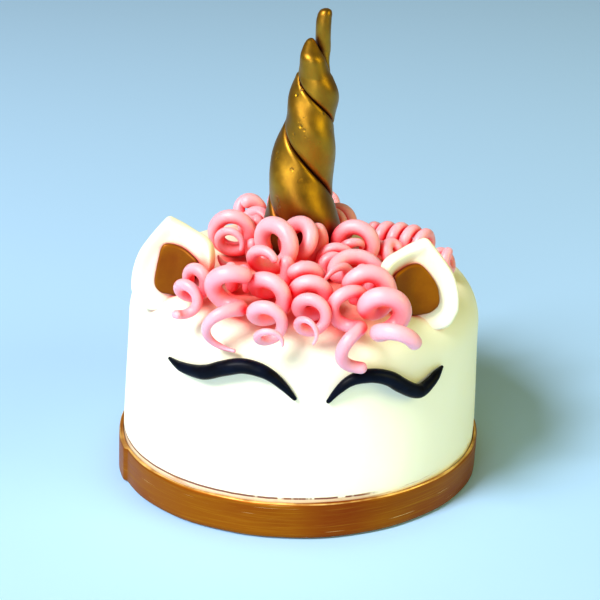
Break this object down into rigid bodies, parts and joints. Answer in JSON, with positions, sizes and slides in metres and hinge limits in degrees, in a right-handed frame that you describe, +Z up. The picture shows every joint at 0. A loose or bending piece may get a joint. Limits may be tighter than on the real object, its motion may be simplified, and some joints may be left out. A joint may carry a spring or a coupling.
{
  "type": "unicorn cake",
  "caption": "Round single-tier fondant cake with a unicorn face: twisted gold horn, cupped ears, closed-eye lashes, pink rolled curls and a gold band round the foot.",
  "frame": {"origin": "centre of the cake's flat foot, on the surface it rests on", "axes": "+Z up, the face looks toward -Y, +X is the viewer's right"},
  "size_m": [0.1631, 0.1913, 0.2009],
  "materials": {
    "fondant_white": "smooth satin rolled fondant",
    "gold_painted": "fondant painted with metallic gold dust",
    "fondant_black": "smooth black fondant, slightly glossy",
    "fondant_pink": "satin pink rolled fondant"
  },
  "bodies": {
    "root": {"cake": "fondant_white", "curl_above_brow_right": "fondant_pink", "curl_back_1": "fondant_pink", "curl_back_2": "fondant_pink", "curl_back_3": "fondant_pink", "curl_back_4": "fondant_pink", "curl_back_5": "fondant_pink", "curl_back_right_long": "fondant_pink", "curl_behind_horn_left": "fondant_pink", "curl_behind_horn_right": "fondant_pink", "curl_behind_right_ear": "fondant_pink", "curl_brow_left": "fondant_pink", "curl_brow_long": "fondant_pink", "curl_brow_middle": "fondant_pink", "curl_brow_middle_left": "fondant_pink", "curl_brow_right": "fondant_pink", "curl_by_left_ear": "fondant_pink", "curl_by_right_ear": "fondant_pink", "curl_front_of_horn": "fondant_pink", "curl_front_of_horn_right": "fondant_pink", "curl_hanging_back_1": "fondant_pink", "curl_hanging_back_2": "fondant_pink", "curl_hanging_back_3": "fondant_pink", "curl_hanging_back_4": "fondant_pink", "curl_hanging_back_5": "fondant_pink", "curl_right_of_horn": "fondant_pink", "curl_right_of_middle": "fondant_pink", "curl_spiral_left": "fondant_pink", "curl_tip_left": "fondant_pink", "curl_under_brow_left": "fondant_pink", "curl_under_brow_right": "fondant_pink", "curl_under_middle": "fondant_pink", "curl_under_spiral": "fondant_pink", "ear_left": "fondant_white", "ear_right": "fondant_white", "gold_band": "gold_painted", "horn_strand_long": "gold_painted", "horn_strand_short": "gold_painted", "inner_ear_left": "gold_painted", "inner_ear_right": "gold_painted", "lash_left": "fondant_black", "lash_right": "fondant_black"}
  },
  "joints": []
}
